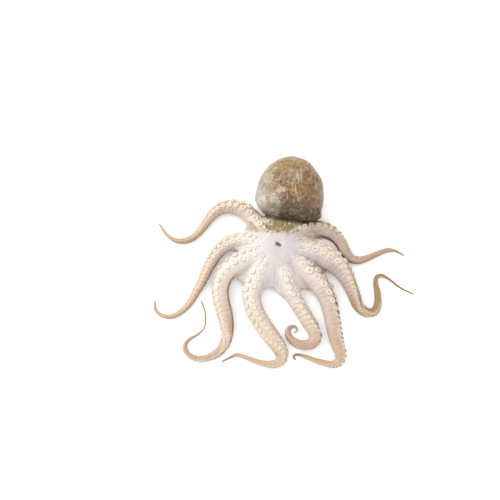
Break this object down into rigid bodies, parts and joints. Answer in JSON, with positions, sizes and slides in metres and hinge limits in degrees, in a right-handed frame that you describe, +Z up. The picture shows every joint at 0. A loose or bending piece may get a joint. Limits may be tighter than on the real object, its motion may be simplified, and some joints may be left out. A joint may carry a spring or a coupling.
{
  "type": "whole octopus",
  "caption": "Whole raw octopus lying flat with its mouth and suckers up, arms spread and curling, and its egg-shaped body behind.",
  "frame": {"origin": "on the table, straight under the mouth, in the middle of the flat underside", "axes": "+Z up out of the table, +Y from the mouth to the body, +X to the right as seen from above with the body away from the viewer"},
  "size_m": [0.2573, 0.211, 0.0415],
  "materials": {
    "skin": "moist, softly glossy"
  },
  "bodies": {
    "root": {"octopus": "skin"}
  },
  "joints": []
}
